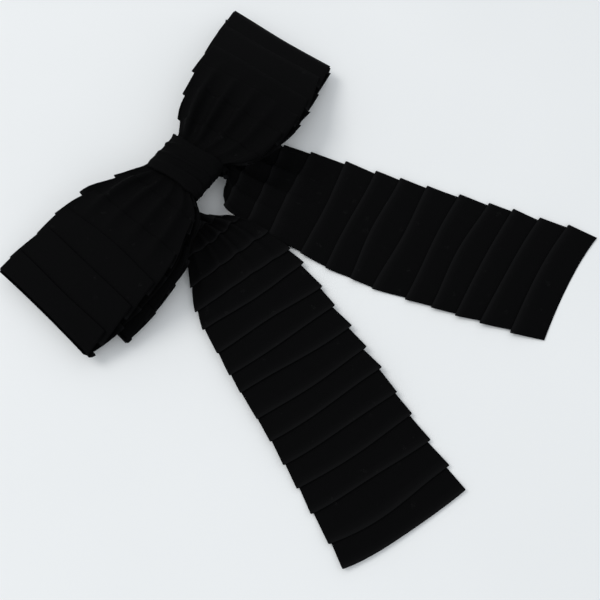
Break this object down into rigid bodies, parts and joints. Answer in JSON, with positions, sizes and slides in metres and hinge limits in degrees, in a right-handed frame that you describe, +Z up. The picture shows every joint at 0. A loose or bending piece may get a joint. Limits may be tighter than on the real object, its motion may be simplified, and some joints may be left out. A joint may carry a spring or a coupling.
{
  "type": "hair bow",
  "caption": "Pleated ribbon hair bow with layered loops, a gathered knot band and long tails, sewn to a squeeze-release French barrette.",
  "frame": {"origin": "under the knot's centre, on the flat underside of the closed clasp arm, which is the plane that the bow lies on", "axes": "+X along the clip towards the lock and the right-hand loop, tails towards -Y, +Z up through the knot"},
  "size_m": [0.2215, 0.2434, 0.0243],
  "materials": {
    "ribbon": "matte crosswise knife-pleated crepe chiffon",
    "plated_steel": "nickel plated, satin with fine drawing lines",
    "spring_steel": "bright spring strip",
    "felt": "needled felt",
    "thread": "twisted polyester thread"
  },
  "bodies": {
    "bow": {"base_plate": "plated_steel", "hinge_pin": "plated_steel", "tension_bar": "spring_steel", "bar_rivet": "plated_steel", "lock_frame": "plated_steel", "lock_rivets": "plated_steel", "lever_pins": "plated_steel", "felt_pad": "felt", "plate_stitches": "thread", "gathering_thread": "thread", "rear_loops": "ribbon", "front_loops": "ribbon", "knot_band": "ribbon"},
    "clasp": {"clasp_arm": "plated_steel"},
    "lever_upper": {"release_lever_upper": "plated_steel"},
    "lever_lower": {"release_lever_lower": "plated_steel"},
    "right_tail": {"right_tail": "ribbon"},
    "left_tail": {"left_tail": "ribbon"}
  },
  "joints": [
    {"name": "clasp_open", "type": "hinge", "parent": "bow", "child": "clasp", "pos_m": [-0.037, 0, 0.0016], "axis": [0, 1, 0], "range_deg": [0, 75]},
    {"name": "lever_upper_squeeze", "type": "hinge", "parent": "bow", "child": "lever_upper", "pos_m": [0.0352, 0.0044, 0.005], "axis": [1, 0, 0], "range_deg": [0, 10], "stiffness_Nm_per_rad": 0.02},
    {"name": "lever_lower_squeeze", "type": "hinge", "parent": "bow", "child": "lever_lower", "pos_m": [0.0352, -0.0044, 0.005], "axis": [-1, 0, 0], "range_deg": [0, 10], "stiffness_Nm_per_rad": 0.02},
    {"name": "right_tail_swing", "type": "hinge", "parent": "bow", "child": "right_tail", "pos_m": [0.013, -0.006, 0.0115], "axis": [0, 0, 1], "range_deg": [-8, 8]},
    {"name": "left_tail_swing", "type": "hinge", "parent": "bow", "child": "left_tail", "pos_m": [-0.013, -0.006, 0.0115], "axis": [0, 0, 1], "range_deg": [-8, 8]}
  ]
}
